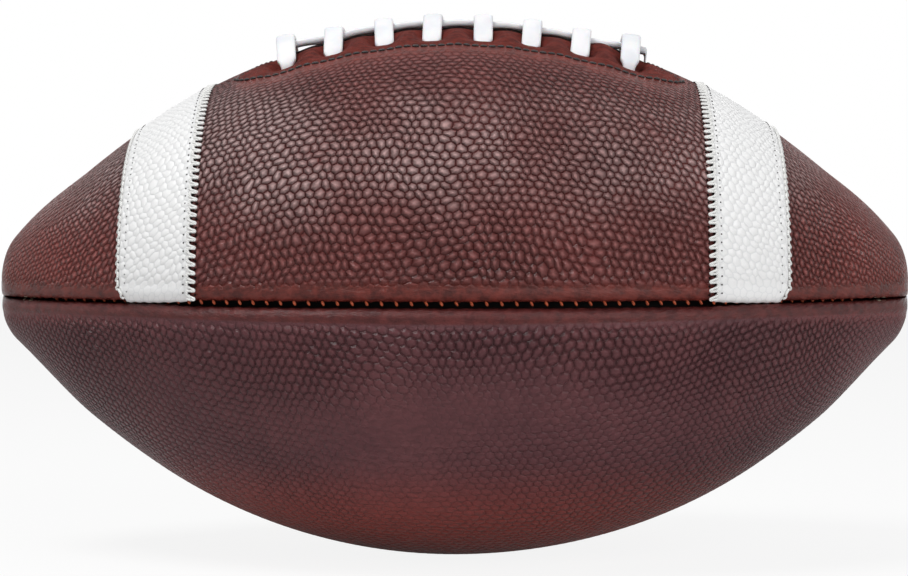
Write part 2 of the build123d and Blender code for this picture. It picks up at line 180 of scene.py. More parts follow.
def facingAcross(place):
    share = np.clip(np.abs(place - facing.middle) / facing.bowReach, 0, 1) ** facing.bowPower
    return facing.middleAcross * (1 - share) ** (1 / facing.bowPower)


# Leather panels: closed skins with rolled edges, numbered from the top round by the rear
panel = Settings(
    thickness=2.0 * mm, seamInset=0.9 * mm,
    endInset=0.42 * mm,  # the seams are drawn tighter beyond the stripes' inner edges
    tightRange=(74 * mm, 92 * mm), crimp=0.10 * mm, crimpPitch=4.35 * mm, fold=3.3 * mm,
    flange=4.0 * mm, rows=400, across=186, foldSteps=9, flangeSteps=4,
    insideSteps=12, smoothSeam=3.2 * mm, fullGrain=7.5 * mm,
    widerSmooth=1.7 * mm,  # the smooth edges are wider about the ball's middle
    widerReach=85 * mm, pebble=2.95 * mm, uneven=0.64, tipFineness=0.35,
    topFineness=0.5, pebbleHeight=0.16 * mm,
    pebbleLevel=0.62,  # part of a dome's height that lies under the ball's face
    trough=0.4 * mm,  # the leather dips a little beside its sewn lip
    troughPlace=5.6 * mm, troughWidth=1.7 * mm,
    lowerGrain=0.85,  # share of the pebbles' depth on the lower panels near the side seams
    lowerWorn=0.13,  # and further down, where the hide is stretched smooth
    wornRange=(11 * mm, 34 * mm), wornReach=80 * mm,
    wornEnds=0.35,  # share of that wear towards the tips
    wornWave=5 * mm, waveLength=19 * mm, waveStart=0.6,
    grainBack=0.25,  # share of the wear lost again towards the bottom seam
    backRange=(38 * mm, 60 * mm), tipGrain=0.35,
    tipRange=(16 * mm, 42 * mm),  # by distance from the ball's axis
)
valve = Settings(turn=pi / 4, sink=1.7 * mm, rim=3.4 * mm, shoulder=4.6 * mm)
quarterNames = ["rear_upper", "rear_lower", "front_lower", "front_upper"]


def quarterSection(reach, insetA, insetB, steps, fold, flange):
    # one quarter at each row, as distances from the seam planes of its first and second edge
    fold = np.minimum(fold, 0.34 * reach)
    edges = []
    for inset in (insetA, insetB):
        inset = np.minimum(inset, 0.02 * reach)  # the seams close up towards the tips
        coreSide = inset + fold
        coreReach = np.sqrt(np.maximum((reach - fold) ** 2 - coreSide**2, 0))
        start = np.arctan2(coreSide, coreReach)
        down = np.linspace(1, 0, panel.flangeSteps, endpoint=False)
        side = np.stack([
            np.repeat(inset[:, None], len(down), 1),
            np.maximum(coreReach[:, None] - flange * down, 0.1 * reach[:, None]),
        ], -1)
        bends = np.linspace(0, 1, panel.foldSteps, endpoint=False)
        angle = -pi / 2 + bends[None, :] * (start[:, None] + pi / 2)
        bend = np.stack([
            coreSide[:, None] + fold[:, None] * np.sin(angle),
            coreReach[:, None] + fold[:, None] * np.cos(angle),
        ], -1)
        edges.append((np.concatenate([side, bend], 1), start))
    (edgeA, startA), (edgeB, startB) = edges
    share = np.linspace(0, 1, steps)
    angle = startA[:, None] + share[None, :] * (pi / 2 - startA - startB)[:, None]
    face = np.stack([np.sin(angle), np.cos(angle)], -1) * reach[:, None, None]
    return np.concatenate([edgeA, face, edgeB[:, ::-1, ::-1]], 1)


def seamInsets(number, place, lengths):
    crimp = panel.crimp * np.cos(2 * pi * lengths / panel.crimpPitch)
    tight = smooth(*panel.tightRange, np.abs(place))
    inset = panel.seamInset + (panel.endInset - panel.seamInset) * tight
    insetA = inset + crimp
    insetB = inset - crimp
    if number == 0:
        insetA = insetA + lacingOpen(place) / 2
    if number == 3:
        insetB = insetB + lacingOpen(place) / 2
    return insetA, insetB


def placeSection(number, section, lengths):
    # turns a quarter's section into points, with the seam drop, the lacing and the valve hole
    place, reach, _, _ = profileAt(lengths)
    side, out = section[..., 0], section[..., 1]
    share = np.arctan2(side, out) / (pi / 2)
    seam = seamTurn(reach)[:, None]
    starts = [0 * seam, seam, pi + 0 * seam, 2 * pi - seam]
    ends = [seam, pi + 0 * seam, 2 * pi - seam, 2 * pi + 0 * seam]
    turn = starts[number] + share * (ends[number] - starts[number])
    edgeA = (turn - starts[number]) * reach[:, None]
    edgeB = (ends[number] - turn) * reach[:, None]
    lobe = ball.tipLobe * smooth(*ball.lobeRange, np.abs(place))
    across = np.hypot(side, out) * (1 + lobe[:, None] * np.cos(turn))
    if number in (0, 3):
        across = across - lacingSink(place[:, None], edgeA if number == 0 else edgeB)
    if number == 0:
        lip = np.exp(-(((edgeA - lacing.lipPlace) / lacing.lipWidth) ** 2))
        across = across + lacing.lipRise * lip * lacingOpen(place)[:, None] / lacing.openGap
        away = np.hypot(lengths[:, None], (turn - valve.turn) * reach[:, None])
        across = across - valve.sink * (1 - smooth(valve.rim, valve.shoulder, away))
    fromSeam = edgeB if number == 0 else edgeA if number == 3 else np.minimum(edgeA, edgeB)
    across = across - panel.trough * np.exp(-(((fromSeam - panel.troughPlace) / panel.troughWidth) ** 2))
    along = np.broadcast_to(place[:, None], turn.shape)
    points = np.stack([along, across * np.sin(turn), across * np.cos(turn) + radius], -1)
    return points, turn, edgeA, edgeB


def shellLoops(number, lengths, depth, thickness, steps):
    # outer face, then the inner face back, for one quarter's skin below the ball's face
    place, reach, _, _ = profileAt(lengths)
    insetA, insetB = seamInsets(number, place, lengths)
    under = depth + thickness
    outerFold = max(panel.fold - depth, 0.5 * mm)
    innerFold = max(panel.fold - under, 0.4 * mm)
    outer = quarterSection(reach - depth, insetA + depth, insetB + depth, steps, outerFold, panel.flange)
    inner = quarterSection(
        reach - under, insetA + under, insetB + under, panel.insideSteps, innerFold, panel.flange - 0.3 * mm,
    )
    skip = panel.flangeSteps + panel.foldSteps
    inner = np.concatenate([inner[:, :1], inner[:, skip:-skip], inner[:, -1:]], 1)[:, ::-1]
    points, turn, edgeA, edgeB = placeSection(number, np.concatenate([outer, inner], 1), lengths)
    return points, turn, edgeA, edgeB, outer.shape[1]


def grainMask(number, lengths, edgeA, edgeB, outerCount):
    # share of full pebble height: smooth leather along seams, beside the lacing and on the tips; and the laced
    # part, above 1 where its opening's edges are painted dark
    place, reach, _, _ = profileAt(lengths)
    place, reach = place[:, None], reach[:, None]
    wider = panel.widerSmooth * np.exp(-((place / panel.widerReach) ** 2))
    mask = smooth(panel.smoothSeam, panel.fullGrain, np.minimum(edgeA, edgeB) - wider)
    laced = np.zeros(mask.shape)
    if number in (0, 3):
        across = edgeA if number == 0 else edgeB
        beyond = np.sin(np.clip(across / reach, 0, pi / 2)) * reach - facingAcross(place)
        fromMiddle = np.abs(place - facing.middle)
        inLine = 1 - smooth(*facing.endRange, fromMiddle)
        mask = mask * (1 - inLine * (1 - smooth(*facing.grainRange, beyond)))
        # the opening's edges are painted dark: dyed edges and painted shade of the gap under the strand
        lip = lacingOpen(place) / lacing.openGap * (1 - smooth(*lacing.dyedRange, across))
        laced = np.where(fromMiddle < facing.cornerReach, 1.0 * (beyond < 0) + lip, 0.0)
    else:
        wave = panel.wornWave * np.sin(place / panel.waveLength + panel.waveStart)
        fromSide = (edgeA if number == 1 else edgeB) + wave
        back = panel.grainBack * smooth(*panel.backRange, fromSide)
        worn = smooth(*panel.wornRange, fromSide) * (1 - back)
        ends = panel.wornEnds
        worn = worn * (ends + (1 - ends) * np.exp(-((place / panel.wornReach) ** 2)))
        mask = mask * (panel.lowerGrain + (panel.lowerWorn - panel.lowerGrain) * worn)
    mask = mask * (panel.tipGrain + (1 - panel.tipGrain) * smooth(*panel.tipRange, reach))
    mask[:, outerCount:] = 0
    return mask, laced


def flatMap(number, lengths, edgeA):
    # the panel laid flat, for patterns that follow its surface; the grain is finer towards the tips and the lacing
    _, reach, _, _ = profileAt(lengths)
    finer = (np.maximum(reach, 8 * mm) / radius) ** -panel.tipFineness
    steps = np.diff(lengths) * (finer[1:] + finer[:-1]) / 2
    along = np.concatenate([[0], np.cumsum(steps)])
    middle = (edgeA - reach[:, None] * pi / 4) * finer[:, None]
    upward = {0: -1, 3: 1}.get(number, 0)
    halfWidth = radius * pi / 4
    rise = panel.topFineness * np.maximum(upward * middle / halfWidth, 0)
    across = middle * (1 + rise / 2)
    return np.stack([(along - along.mean())[:, None] * (1 + rise), across + 0.3 * number, 0 * middle], -1)


def turnOutward(mesh):
    # flips every face when the closed skin is inside out
    points = np.empty(len(mesh.vertices) * 3)
    mesh.vertices.foreach_get("co", points)
    points = points.reshape(-1, 3) - points.reshape(-1, 3).mean(0)
    mesh.calc_loop_triangles()
    corners = np.empty(len(mesh.loop_triangles) * 3, dtype=np.int32)
    mesh.loop_triangles.foreach_get("vertices", corners)
    a, b, c = (points[column] for column in corners.reshape(-1, 3).T)
    if np.einsum("ij,ij->i", a, np.cross(b, c)).sum() < 0:
        mesh.flip_normals()


def addObject(name, data):
    obj = bpy.data.objects.new(name, data)
    bpy.context.scene.collection.objects.link(obj)
    return obj


def gridObject(name, loops, material=None, **layers):
    # closed skin through rows of closed loops, with capped ends
    rows, steps, _ = loops.shape
    index = np.arange(rows * steps).reshape(rows, steps)
    ahead = np.roll(index, -1, 1)
    quads = np.stack([index[:-1], index[1:], ahead[1:], ahead[:-1]], -1).reshape(-1, 4)
    caps = [index[0].tolist(), index[-1][::-1].tolist()]
    mesh = bpy.data.meshes.new(name)
    mesh.from_pydata(loops.reshape(-1, 3).tolist(), [], quads.tolist() + caps)
    mesh.shade_smooth()
    for key, values in layers.items():
        kind, field = ("FLOAT_VECTOR", "vector") if values.ndim == 3 else ("FLOAT", "value")
        layer = mesh.attributes.new(key, kind, "POINT")
        layer.data.foreach_set(field, values.reshape(-1).astype(np.float32))
    mesh.validate()
    turnOutward(mesh)
    if material:
        mesh.materials.append(material)
    return addObject(name, mesh)


def pathObject(name, paths, sizes=None):
    # open lines as a mesh of edges, the host of a thread or a row of stitches
    counts = [len(path) for path in paths]
    starts = np.cumsum([0] + counts)
    edges = [(i, i + 1) for first, last in zip(starts, starts[1:]) for i in range(first, last - 1)]
    mesh = bpy.data.meshes.new(name)
    mesh.from_pydata(np.concatenate(paths).tolist(), edges, [])
    layer = mesh.attributes.new("size", "FLOAT", "POINT")
    layer.data.foreach_set("value", np.repeat(sizes or [1.0] * len(paths), counts).astype(np.float32))
    return addObject(name, mesh)


class Nodes:
    # adds nodes to a tree; each method gives a socket to link on
    def __init__(self, tree):
        self.tree = tree

    def add(self, kind, links=(), **settings):
        node = self.tree.nodes.new(kind)
        for key, value in settings.items():
            setattr(node, key, value)
        for socket, source in dict(links).items():
            if isinstance(source, bpy.types.NodeSocket):
                self.tree.links.new(source, node.inputs[socket])
            else:
                node.inputs[socket].default_value = source
        return node.outputs

    def math(self, operation, first, second=0.0):
        return self.add("ShaderNodeMath", {0: first, 1: second}, operation=operation)[0]

    def times(self, first, *others):
        for other in others:
            first = self.math("MULTIPLY", first, other)
        return first

    def plus(self, first, *others):
        for other in others:
            first = self.math("ADD", first, other)
        return first

    def minus(self, first, second):
        return self.math("SUBTRACT", first, second)

    def vector(self, operation, *sources, output=0, **named):
        links = {**dict(enumerate(sources)), **named}
        return self.add("ShaderNodeVectorMath", links, operation=operation)[output]

    def combine(self, **parts):
        return self.add("ShaderNodeCombineXYZ", parts)[0]

    def split(self, vector):
        return self.add("ShaderNodeSeparateXYZ", {0: vector})

    def ramp(self, value, low, high, toLow=0.0, toHigh=1.0):
        sizes = {"Value": value, "From Min": low, "From Max": high, "To Min": toLow, "To Max": toHigh}
        return self.add("ShaderNodeMapRange", sizes, interpolation_type="SMOOTHSTEP")[0]

    def noise(self, vector, scale, detail=4.0, rough=0.55, output=0, **settings):
        sizes = {"Vector": vector, "Scale": scale, "Detail": detail, "Roughness": rough}
        return self.add("ShaderNodeTexNoise", sizes, **settings)[output]

    def wave(self, place, scale, way, distortion):
        sizes = {"Vector": place, "Scale": scale, "Distortion": distortion}
        return self.add("ShaderNodeTexWave", sizes, bands_direction=way)["Fac"]

    def mix(self, factor, first, second, blend="MIX"):
        return self.add("ShaderNodeMix", {0: factor, 6: first, 7: second}, data_type="RGBA", blend_type=blend)[2]

    def grey(self, value):
        return self.add("ShaderNodeCombineColor", {0: value, 1: value, 2: value})[0]

    def read(self, name, output):
        return self.add("ShaderNodeAttribute", attribute_name=name)[output]

    def geo(self, kind, links=(), **settings):
        return self.add("GeometryNode" + kind, links, **settings)[0]

    def named(self, name, kind="FLOAT"):
        return self.geo("InputNamedAttribute", {"Name": name}, data_type=kind)


def pebblePattern(n, vector, cell, uneven, dome=2.4):
    # six-sided domes in bent rows on the flattened panel, 0 in a valley and 1 on a crown
    moved = vector
    for scale, amount in ((0.07, 2.2), (0.55, uneven)):
        wander = n.noise(vector, scale / cell, 0.0, output=1, noise_dimensions="2D")
        shift = n.vector("SUBTRACT", wander, (0.5, 0.5, 0.5))
        shift = n.vector("SCALE", shift, Scale=n.times(amount, cell))
        moved = n.vector("ADD", moved, shift)
    unit = n.vector("SCALE", moved, Scale=1 / cell)
    half = (0.5, 0.75**0.5, 1.0)
    less = tuple(-part for part in half)
    first = n.vector("WRAP", unit, half, less)
    second = n.vector("WRAP", n.vector("ADD", unit, half), half, less)
    flat = [n.vector("MULTIPLY", shift, (1, 1, 0)) for shift in (second, first)]
    nearer = n.math("LESS_THAN", *[n.vector("LENGTH", shift, output=1) for shift in flat])
    fromCentre = n.add("ShaderNodeMix", {0: nearer, 4: first, 5: second}, data_type="VECTOR")[1]
    parts = n.split(n.vector("ABSOLUTE", fromCentre))
    slant = n.plus(n.times(parts[0], half[0]), n.times(parts[1], half[1]))
    fromMiddle = n.times(n.math("MAXIMUM", parts[0], slant), 2.0)
    return n.minus(1.0, n.math("POWER", fromMiddle, dome))


def newTree(name, *inputs):
    tree = bpy.data.node_groups.new(name, "GeometryNodeTree")
    for way in ("INPUT", "OUTPUT"):
        tree.interface.new_socket("Geometry", in_out=way, socket_type="NodeSocketGeometry")
    for label, kind, value in (*inputs, ("Material", "Material", None)):
        socket = tree.interface.new_socket(label, in_out="INPUT", socket_type="NodeSocket" + kind)
        if value is not None:
            socket.default_value = value
    return Nodes(tree), tree.nodes.new("NodeGroupInput").outputs


def closeTree(n, geometry, given, selection=None):
    # a selected share of the surface has a second finish
    real = n.geo("RealizeInstances", {"Geometry": n.geo("SetShadeSmooth", {"Geometry": geometry})})
    finished = n.geo("SetMaterial", {"Geometry": real, "Material": given["Material"]})
    if selection:
        sockets = {"Geometry": finished, "Selection": selection, "Material": given["Laced Material"]}
        finished = n.geo("SetMaterial", sockets)
    n.tree.links.new(finished, n.tree.nodes.new("NodeGroupOutput").inputs[0])
    return n.tree


def grow(host, tree, material, **values):
    # runs a tree on a host object and keeps the result as a plain mesh
    modifier = host.modifiers.new(tree.name, "NODES")
    modifier.node_group = tree
    values = {"Material": material, **values}
    for item in tree.interface.items_tree:
        if item.in_out == "INPUT" and item.name in values:
            modifier[item.identifier] = values[item.name]
    bpy.context.view_layer.update()
    mesh = bpy.data.meshes.new_from_object(host.evaluated_get(bpy.context.evaluated_depsgraph_get()))
    host.modifiers.clear()
    hostMesh = host.data
    host.data = mesh
    bpy.data.meshes.remove(hostMesh)
    mesh.name = host.name
    return host


def settle(piece, slotName, *nodes):
    # every piece is part of the one rigid body
    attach(piece, "root")
    if nodes:
        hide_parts(*nodes)
    return piece


# Materials
def newMaterial(name, **sockets):
    material = bpy.data.materials.new(name)
    material.use_nodes = True
    shader = material.node_tree.nodes["Principled BSDF"]
    for key, value in sockets.items():
        shader.inputs[key.replace("_", " ")].default_value = value
    n = Nodes(material.node_tree)
    return material, n, n.add("ShaderNodeTexCoord")["Object"]


def colour(red, green, blue):
    # a colour as a screen shows it, made linear
    shares = [part / 255 for part in (red, green, blue)]
    return (*[s / 12.92 if s <= 0.04045 else ((s + 0.055) / 1.055) ** 2.4 for s in shares], 1.0)


def finishShader(material, shade, rough, height, strength, distance):
    n = Nodes(material.node_tree)
    sizes = {"Height": height, "Strength": strength, "Distance": distance}
    relief = n.add("ShaderNodeBump", sizes)[0]
    for socket, source in (("Base Color", shade), ("Roughness", rough), ("Normal", relief)):
        n.tree.links.new(source, n.tree.nodes["Principled BSDF"].inputs[socket])
    return material


brown = Settings(
    upper=(colour(122, 57, 54), colour(106, 48, 46)),  # pebble crowns, light and dark patches
    # the lower panels' greyish purple is partly the hide's tone and partly a painted reflection of the pale floor
    lower=(colour(99, 58, 61), colour(88, 51, 55)), tips=colour(146, 66, 60),
    under=colour(140, 62, 54),  # painted light: redder and lighter underneath, as lit from the floor
    # valley is painted shade in the hollows between the pebbles; the colour after it is a painted sheen for their
    # tops
    valley=colour(46, 15, 15), burnished=colour(196, 168, 166),
    upperSmooth=(colour(114, 49, 42), colour(76, 31, 27)),  # smooth beside the seams and the lacing
    # edge is the opening's painted dark: dyed edges and painted shade of the gap under the strand
    lowerSmooth=(colour(100, 47, 45), colour(76, 36, 36)), edge=colour(20, 10, 10),
)


# uneven is how far the pebbles stray from even rows and dome how flat they are; worn is the share of their depth
# left where the hide is smoothest, and the sheen share how much of their tops is lightened by a painted sheen;
# plainUpTo is the grain at which the colour is no longer that of smooth leather, and creased the height of fine
# creases on it
leathers = Settings(
    upperPebbledLeather=Settings(
        tone="upper", uneven=0.64, dome=2.4, gloss=0.22, roughest=0.37, worn=0.85,
        relief=3.0 * mm, burnish=0.80, plainUpTo=0.85, creased=0.2,
    ),
    lowerPebbledLeather=Settings(
        tone="lower", uneven=0.45, dome=3.2, gloss=0.18, roughest=0.40, worn=0.6,
        relief=1.9 * mm, burnish=0.0, plainUpTo=0.12, creased=0.36,
    ),
    lacedLeather=Settings(
        tone="upper", uneven=0.64, dome=2.4, gloss=0.07, roughest=0.70, worn=1.0,
        relief=3.4 * mm, burnish=0.0, plainUpTo=0.85, creased=0.32,
    ),
)
hide = Settings(
    poreScale=2400,  # noise cells in a metre
    creaseScale=620,
    creaseStretch=(0.4, 1, 1),  # fine creases run along the ball
    blotchScale=240, patchScale=20, handledScale=26, wornScale=16,
    tipRange=(85 * mm, 125 * mm),  # along from the ball's middle
    # the last heights are where the painted floor light reddens and lightens the crowns
    tipHeights=(72 * mm, 92 * mm), underHeights=(8 * mm, 38 * mm),
    handledFrom=(92 * mm, 126 * mm),  # heights of the band of painted sheen
    handledTo=(137 * mm, 153 * mm),
    handledSide=(-80 * mm, 60 * mm),  # painted sheen stronger on the left
    dullHeights=(143 * mm, 158 * mm),  # duller beside the lacing
)


def ballLeather(name):
    look = leathers[name]
    material, n, place = newMaterial(name, Specular_IOR_Level=look.gloss)
    along, _, high = n.split(place)
    grain = n.read("grain", "Fac")
    flat = n.read("pebbleMap", "Vector")
    pebbles = pebblePattern(n, flat, panel.pebble, look.uneven, look.dome)
    creases = n.noise(n.vector("MULTIPLY", flat, hide.creaseStretch), hide.creaseScale, 5.0, 0.65)
    patches = n.ramp(n.noise(place, hide.patchScale, 4.0, 0.6), 0.38, 0.66)
    crown = n.mix(patches, *brown[look.tone])
    towardsTip = n.ramp(n.math("ABSOLUTE", along), *hide.tipRange)
    towardsTip = n.times(towardsTip, n.ramp(high, *hide.tipHeights))
    crown = n.mix(towardsTip, crown, brown.tips)
    # painted light from the floor: redder and lighter towards the bottom
    crown = n.mix(n.ramp(high, *hide.underHeights, 0.95, 0.0), crown, brown.under)
    # painted sheen: pebble tops lightened towards a greyish colour in a patchy band on the upper panels, more on
    # the left
    sheenZone = n.times(
        n.ramp(high, *hide.handledFrom), n.ramp(high, *hide.handledTo, 1.0, 0.0),
        n.ramp(n.noise(place, hide.handledScale, 3.0), 0.3, 0.62, 0.35, 1.0),
        n.ramp(along, *hide.handledSide, 1.0, 0.65),
    )
    sheenStrength = n.ramp(sheenZone, 0.0, 1.0, 0.12 * look.burnish, look.burnish)
    sheenOnTops = n.times(n.ramp(pebbles, 0.1, 0.7), sheenStrength)
    crown = n.mix(sheenOnTops, crown, brown.burnished)
    wear = n.ramp(n.noise(place, hide.wornScale, 2.0), 0.36, 0.62, look.worn, 1.0)
    depth = n.times(grain, wear)
    fill = n.minus(1.0, n.times(depth, n.minus(1.0, pebbles)))
    # painted shade: the pebbles darken into their valleys
    pebbled = n.mix(n.ramp(fill, 0.0, 0.24), brown.valley, crown)
    blotches = n.ramp(n.noise(place, hide.blotchScale, 5.0, 0.7), 0.35, 0.68)
    plain = n.mix(blotches, *brown[look.tone + "Smooth"])
    shade = n.mix(n.ramp(grain, 0.0, look.plainUpTo), plain, pebbled)
    shade = n.mix(1.0, shade, n.grey(n.ramp(creases, 0.3, 0.7, 0.80, 1.12)), "MULTIPLY")
    openingShade = n.ramp(n.read("laced", "Fac"), 1.05, 1.8)  # painted dark where the lacing opens: dyed edges and painted shade of the gap under the strand
    shade = n.mix(openingShade, shade, brown.edge)
    height = n.plus(
        n.times(pebbles, depth), n.times(creases, n.ramp(grain, 0.0, 0.7, look.creased, 0.1)),
        n.times(n.noise(place, hide.poreScale, 3.0), 0.02),
    )
    rough = n.plus(
        n.ramp(creases, 0.3, 0.7, look.roughest - 0.13, look.roughest),
        n.ramp(high, *hide.dullHeights, 0.0, 0.35),
        n.ramp(grain, 0.0, 0.35, -0.2, 0.0),  # glossier on the sewn edges
    )
    return finishShader(material, shade, rough, height, 1.0, look.relief)


def whiteLeather():
    material, n, place = newMaterial("whiteStripeLeather", Specular_IOR_Level=0.4)
    pebbles = pebblePattern(n, n.read("pebbleMap", "Vector"), panel.pebble, panel.uneven)
    grime = n.noise(place, 60, 4.0)
    valley = n.mix(grime, colour(225, 226, 227), colour(232, 232, 233))
    shade = n.mix(n.ramp(pebbles, 0.0, 0.5), valley, colour(240, 240, 240))
    domes = n.times(pebbles, n.read("grain", "Fac"))
    height = n.plus(domes, n.times(n.noise(place, 900, 3.0), 0.1))
    return finishShader(material, shade, n.ramp(grime, 0.3, 0.7, 0.42, 0.55), height, 0.6, 0.4 * mm)


def softLace():
    material, n, place = newMaterial(
        "softWhiteLace", Specular_IOR_Level=0.35, Subsurface_Weight=0.12, Subsurface_Scale=0.002,
    )
    weave = n.noise(place, 1300, 3.0)
    stain = n.ramp(n.noise(place, 90, 3.0), 0.35, 0.75)
    shade = n.mix(stain, colour(240, 240, 242), colour(226, 228, 233))
    return finishShader(material, shade, n.ramp(weave, 0.3, 0.7, 0.42, 0.6), weave, 0.3, 0.1 * mm)


def sewingThread(name, light, dark, rough):
    material, n, place = newMaterial(name, Specular_IOR_Level=0.4)
    twist = n.wave(place, 800.0, "DIAGONAL", 2.0)
    shade = n.mix(twist, colour(*dark), colour(*light))
    return finishShader(material, shade, n.ramp(twist, 0.0, 1.0, rough, rough + 0.12), twist, 0.5, 0.1 * mm)


def wovenCloth(name, light, dark, thread):
    material, n, place = newMaterial(name, Specular_IOR_Level=0.2)
    bands = [n.wave(place, 0.31 / thread, way, 0.6) for way in ("X", "Y", "Z")]
    weave = n.math("MAXIMUM", bands[0], n.math("MAXIMUM", bands[1], bands[2]))
    fibre = n.noise(place, 1400, 3.0)
    shade = n.mix(n.times(weave, fibre), colour(*dark), colour(*light))
    return finishShader(material, shade, n.ramp(fibre, 0.2, 0.8, 0.75, 0.95), weave, 0.4, 0.2 * mm)


def mouldedRubber(name, light, dark, gloss):
    material, n, place = newMaterial(name, Specular_IOR_Level=gloss)
    bloom = n.noise(place, 160, 4.0)
    shade = n.mix(n.ramp(bloom, 0.35, 0.7), colour(*dark), colour(*light))
    rough = n.ramp(bloom, 0.3, 0.7, 0.5, 0.75)
    return finishShader(material, shade, rough, n.noise(place, 900, 3.0), 0.2, 0.1 * mm)


def plainSuede(name, light, dark):
    material, n, place = newMaterial(name, Specular_IOR_Level=0.2)
    nap = n.noise(place, 700, 5.0, 0.7)
    shade = n.mix(n.ramp(nap, 0.3, 0.7), colour(*dark), colour(*light))
    return finishShader(material, shade, n.ramp(nap, 0.3, 0.7, 0.7, 0.9), nap, 0.5, 0.2 * mm)


upperLeather, lowerLeather, lacedLeather = [ballLeather(name) for name in leathers]
stripeLeather = whiteLeather()
laceFinish = softLace()
whiteThread = sewingThread("whiteThread", (242, 242, 240), (214, 214, 212), 0.5)
blackThread = sewingThread("blackThread", (44, 38, 37), (14, 11, 11), 0.45)
waxedThread = sewingThread("waxedThread", (196, 88, 44), (120, 48, 24), 0.4)
# painted shade: the dark finish of the beads that stand for the needle holes
needleDark = mouldedRubber("needleHoleDark", (34, 22, 20), (18, 12, 11), 0.05)
liningCloth = wovenCloth("liningCloth", (198, 188, 166), (140, 130, 110), 1.0 * mm)
facingCloth = wovenCloth("facingCloth", (160, 150, 134), (104, 96, 84), 1.4 * mm)
tongueSuede = plainSuede("tongueSuede", (104, 72, 50), (70, 46, 32))
bladderRubber = mouldedRubber("bladderRubber", (30, 29, 30), (18, 18, 18), 0.05)
for node, finish in (
    ("valve_body", mouldedRubber("valveRubber", (34, 33, 32), (20, 19, 19), 0.35)),
    ("valve_core", mouldedRubber("coreRubber", (58, 50, 44), (36, 31, 28), 0.35)),
):
    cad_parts[node].data.materials.clear()
    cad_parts[node].data.materials.append(finish)
print("materials ready")

# Tree that raises the pebbles on a skin
n, given = newTree(
    "pebbleGrain", ("Height", "Float", panel.pebbleHeight), ("Uneven", "Float", panel.uneven),
    ("Laced Material", "Material", None),
)
domes = pebblePattern(n, n.named("pebbleMap", "FLOAT_VECTOR"), panel.pebble, given["Uneven"])
crownShare = n.times(n.minus(domes, panel.pebbleLevel), n.named("grain"))
push = n.vector("SCALE", n.geo("InputNormal"), Scale=n.times(crownShare, given["Height"]))
lifted = n.geo("SetPosition", {"Geometry": given["Geometry"], "Offset": push})
grainTree = closeTree(n, lifted, given, n.math("GREATER_THAN", n.named("laced"), 0.5))

# Tree that lays tapered stitches along a line, or across it where Across is given
n, given = newTree(
    "stitchRow", ("Pitch", "Float", 2.6 * mm), ("Length", "Float", 2.2 * mm), ("Radius", "Float", 0.4 * mm),
    ("Across", "Vector", (0, 0, 0)),
)
line = n.geo("MeshToCurve", {"Mesh": given["Geometry"]})
sockets = {"Curve": line, "Length": given["Pitch"]}
spaced = n.add("GeometryNodeCurveToPoints", sockets, mode="LENGTH")
isAcross = n.math("GREATER_THAN", n.vector("LENGTH", given["Across"], output=1), 0.5)
ways = {0: isAcross, 4: spaced["Tangent"], 5: given["Across"]}
direction = n.add("ShaderNodeMix", ways, data_type="VECTOR")[1]
pointed = n.add("FunctionNodeAlignRotationToVector", {"Vector": direction}, axis="Z")[0]
bead = n.geo("MeshUVSphere", {"Segments": 10, "Rings": 8, "Radius": 1.0})
beadRadius = n.times(given["Radius"], n.named("size"))
beadReach = n.times(given["Length"], n.named("size"), 0.5)
beadSize = n.combine(X=beadRadius, Y=beadRadius, Z=beadReach)
sockets = {"Points": spaced[0], "Instance": bead, "Rotation": pointed, "Scale": beadSize}
stitchTree = closeTree(n, n.geo("InstanceOnPoints", sockets), given)

# Tree that sets a small dark bead at each point of a line
n, given = newTree("needleHoles", ("Radius", "Float", 0.4 * mm))
places = n.geo("MeshToPoints", {"Mesh": given["Geometry"]})
bead = n.geo("MeshUVSphere", {"Segments": 8, "Rings": 6, "Radius": 1.0})
beadRadius = n.times(given["Radius"], n.named("size"))
holes = n.geo("InstanceOnPoints", {"Points": places, "Instance": bead, "Scale": beadRadius})
holeTree = closeTree(n, holes, given)

# Tree that runs a round thread along a line
n, given = newTree("sewnThread", ("Radius", "Float", 0.4 * mm), ("Corner", "Float", 0.4 * mm))
line = n.geo("MeshToCurve", {"Mesh": given["Geometry"]})
sockets = {"Curve": line, "Count": 3, "Radius": given["Corner"], "Limit Radius": True}
rounded = n.geo("FilletCurve", sockets, mode="POLY")
ring = n.geo("CurvePrimitiveCircle", {"Resolution": 8, "Radius": given["Radius"]})
tube = n.geo("CurveToMesh", {"Curve": rounded, "Profile Curve": ring, "Fill Caps": True})
threadTree = closeTree(n, tube, given)

# Tree that sets rungs round the lacing's arc, each a little askew
n, given = newTree(
    "laceRungs", ("Count", "Int", lacing.rungs), ("Step", "Float", rungStep), ("Middle", "Float", 0.0),
    ("Centre", "Vector", (0, 0, 0)), ("Lean", "Float", 0.03), ("Right Rise", "Float", 0.0),
    ("Left Rise", "Float", 0.0), ("Seed", "Int", 4), ("Upright", "Float", 0.0), ("Crest", "Vector", (0, 0, 0)),
)
endPower = 8.0  # only the last rungs are raised
stations = n.geo("MeshLine", {"Count": given["Count"], "Start Location": given["Centre"], "Offset": (0, 0, 0)})
middleOrder = n.times(n.minus(given["Count"], 1.0), 0.5)
fromMiddle = n.minus(n.geo("InputIndex"), middleOrder)
stationTurn = n.plus(n.times(fromMiddle, given["Step"]), given["Middle"])
sockets = {"Points": stations, "Instance": given["Geometry"], "Rotation": n.combine(Y=stationTurn)}
rungs = n.geo("InstanceOnPoints", sockets)
sockets = {2: -1.0, 3: 1.0, "Seed": given["Seed"]}
chance = n.add("FunctionNodeRandomValue", sockets, data_type="FLOAT")[1]
askew = n.combine(Y=n.times(stationTurn, given["Upright"], -1.0), Z=n.times(chance, given["Lean"]))
sockets = {"Instances": rungs, "Rotation": askew, "Pivot Point": given["Crest"], "Local Space": True}
